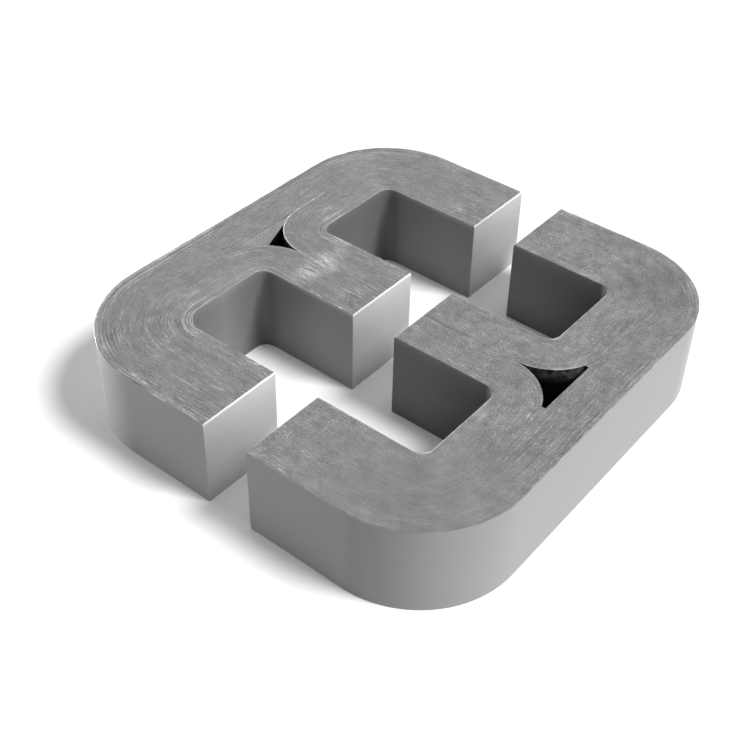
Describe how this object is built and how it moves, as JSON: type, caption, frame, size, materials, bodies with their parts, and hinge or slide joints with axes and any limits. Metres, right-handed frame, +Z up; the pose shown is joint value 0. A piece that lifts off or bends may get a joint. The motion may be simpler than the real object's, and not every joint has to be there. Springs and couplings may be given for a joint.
{
  "type": "laminated e core",
  "caption": "Strip-wound cut core of laminated steel: two E-shaped halves of nested loops, their lapped leg ends face to face across a gap.",
  "frame": {"origin": "on the surface that the core lies on, below the middle of the gap between the two halves", "axes": "+X from the left half's yoke to the right half's yoke, +Y along the yokes towards the far leg, +Z up across the width of the strip"},
  "size_m": [0.1244, 0.13, 0.0251],
  "materials": {
    "strip_steel": "smooth coated strip on the sides, fine lines of strip edges above and below, lapped bare steel at the cuts",
    "set_varnish": "impregnating varnish set hard, grey with steel dust and wiped level with the strip edges"
  },
  "bodies": {
    "root": {"left_outer_winding": "strip_steel", "left_near_winding": "strip_steel", "left_far_winding": "strip_steel", "right_outer_winding": "strip_steel", "right_near_winding": "strip_steel", "right_far_winding": "strip_steel", "left_pocket_varnish": "set_varnish", "right_near_pocket_varnish": "set_varnish", "right_far_pocket_varnish": "set_varnish"}
  },
  "joints": []
}
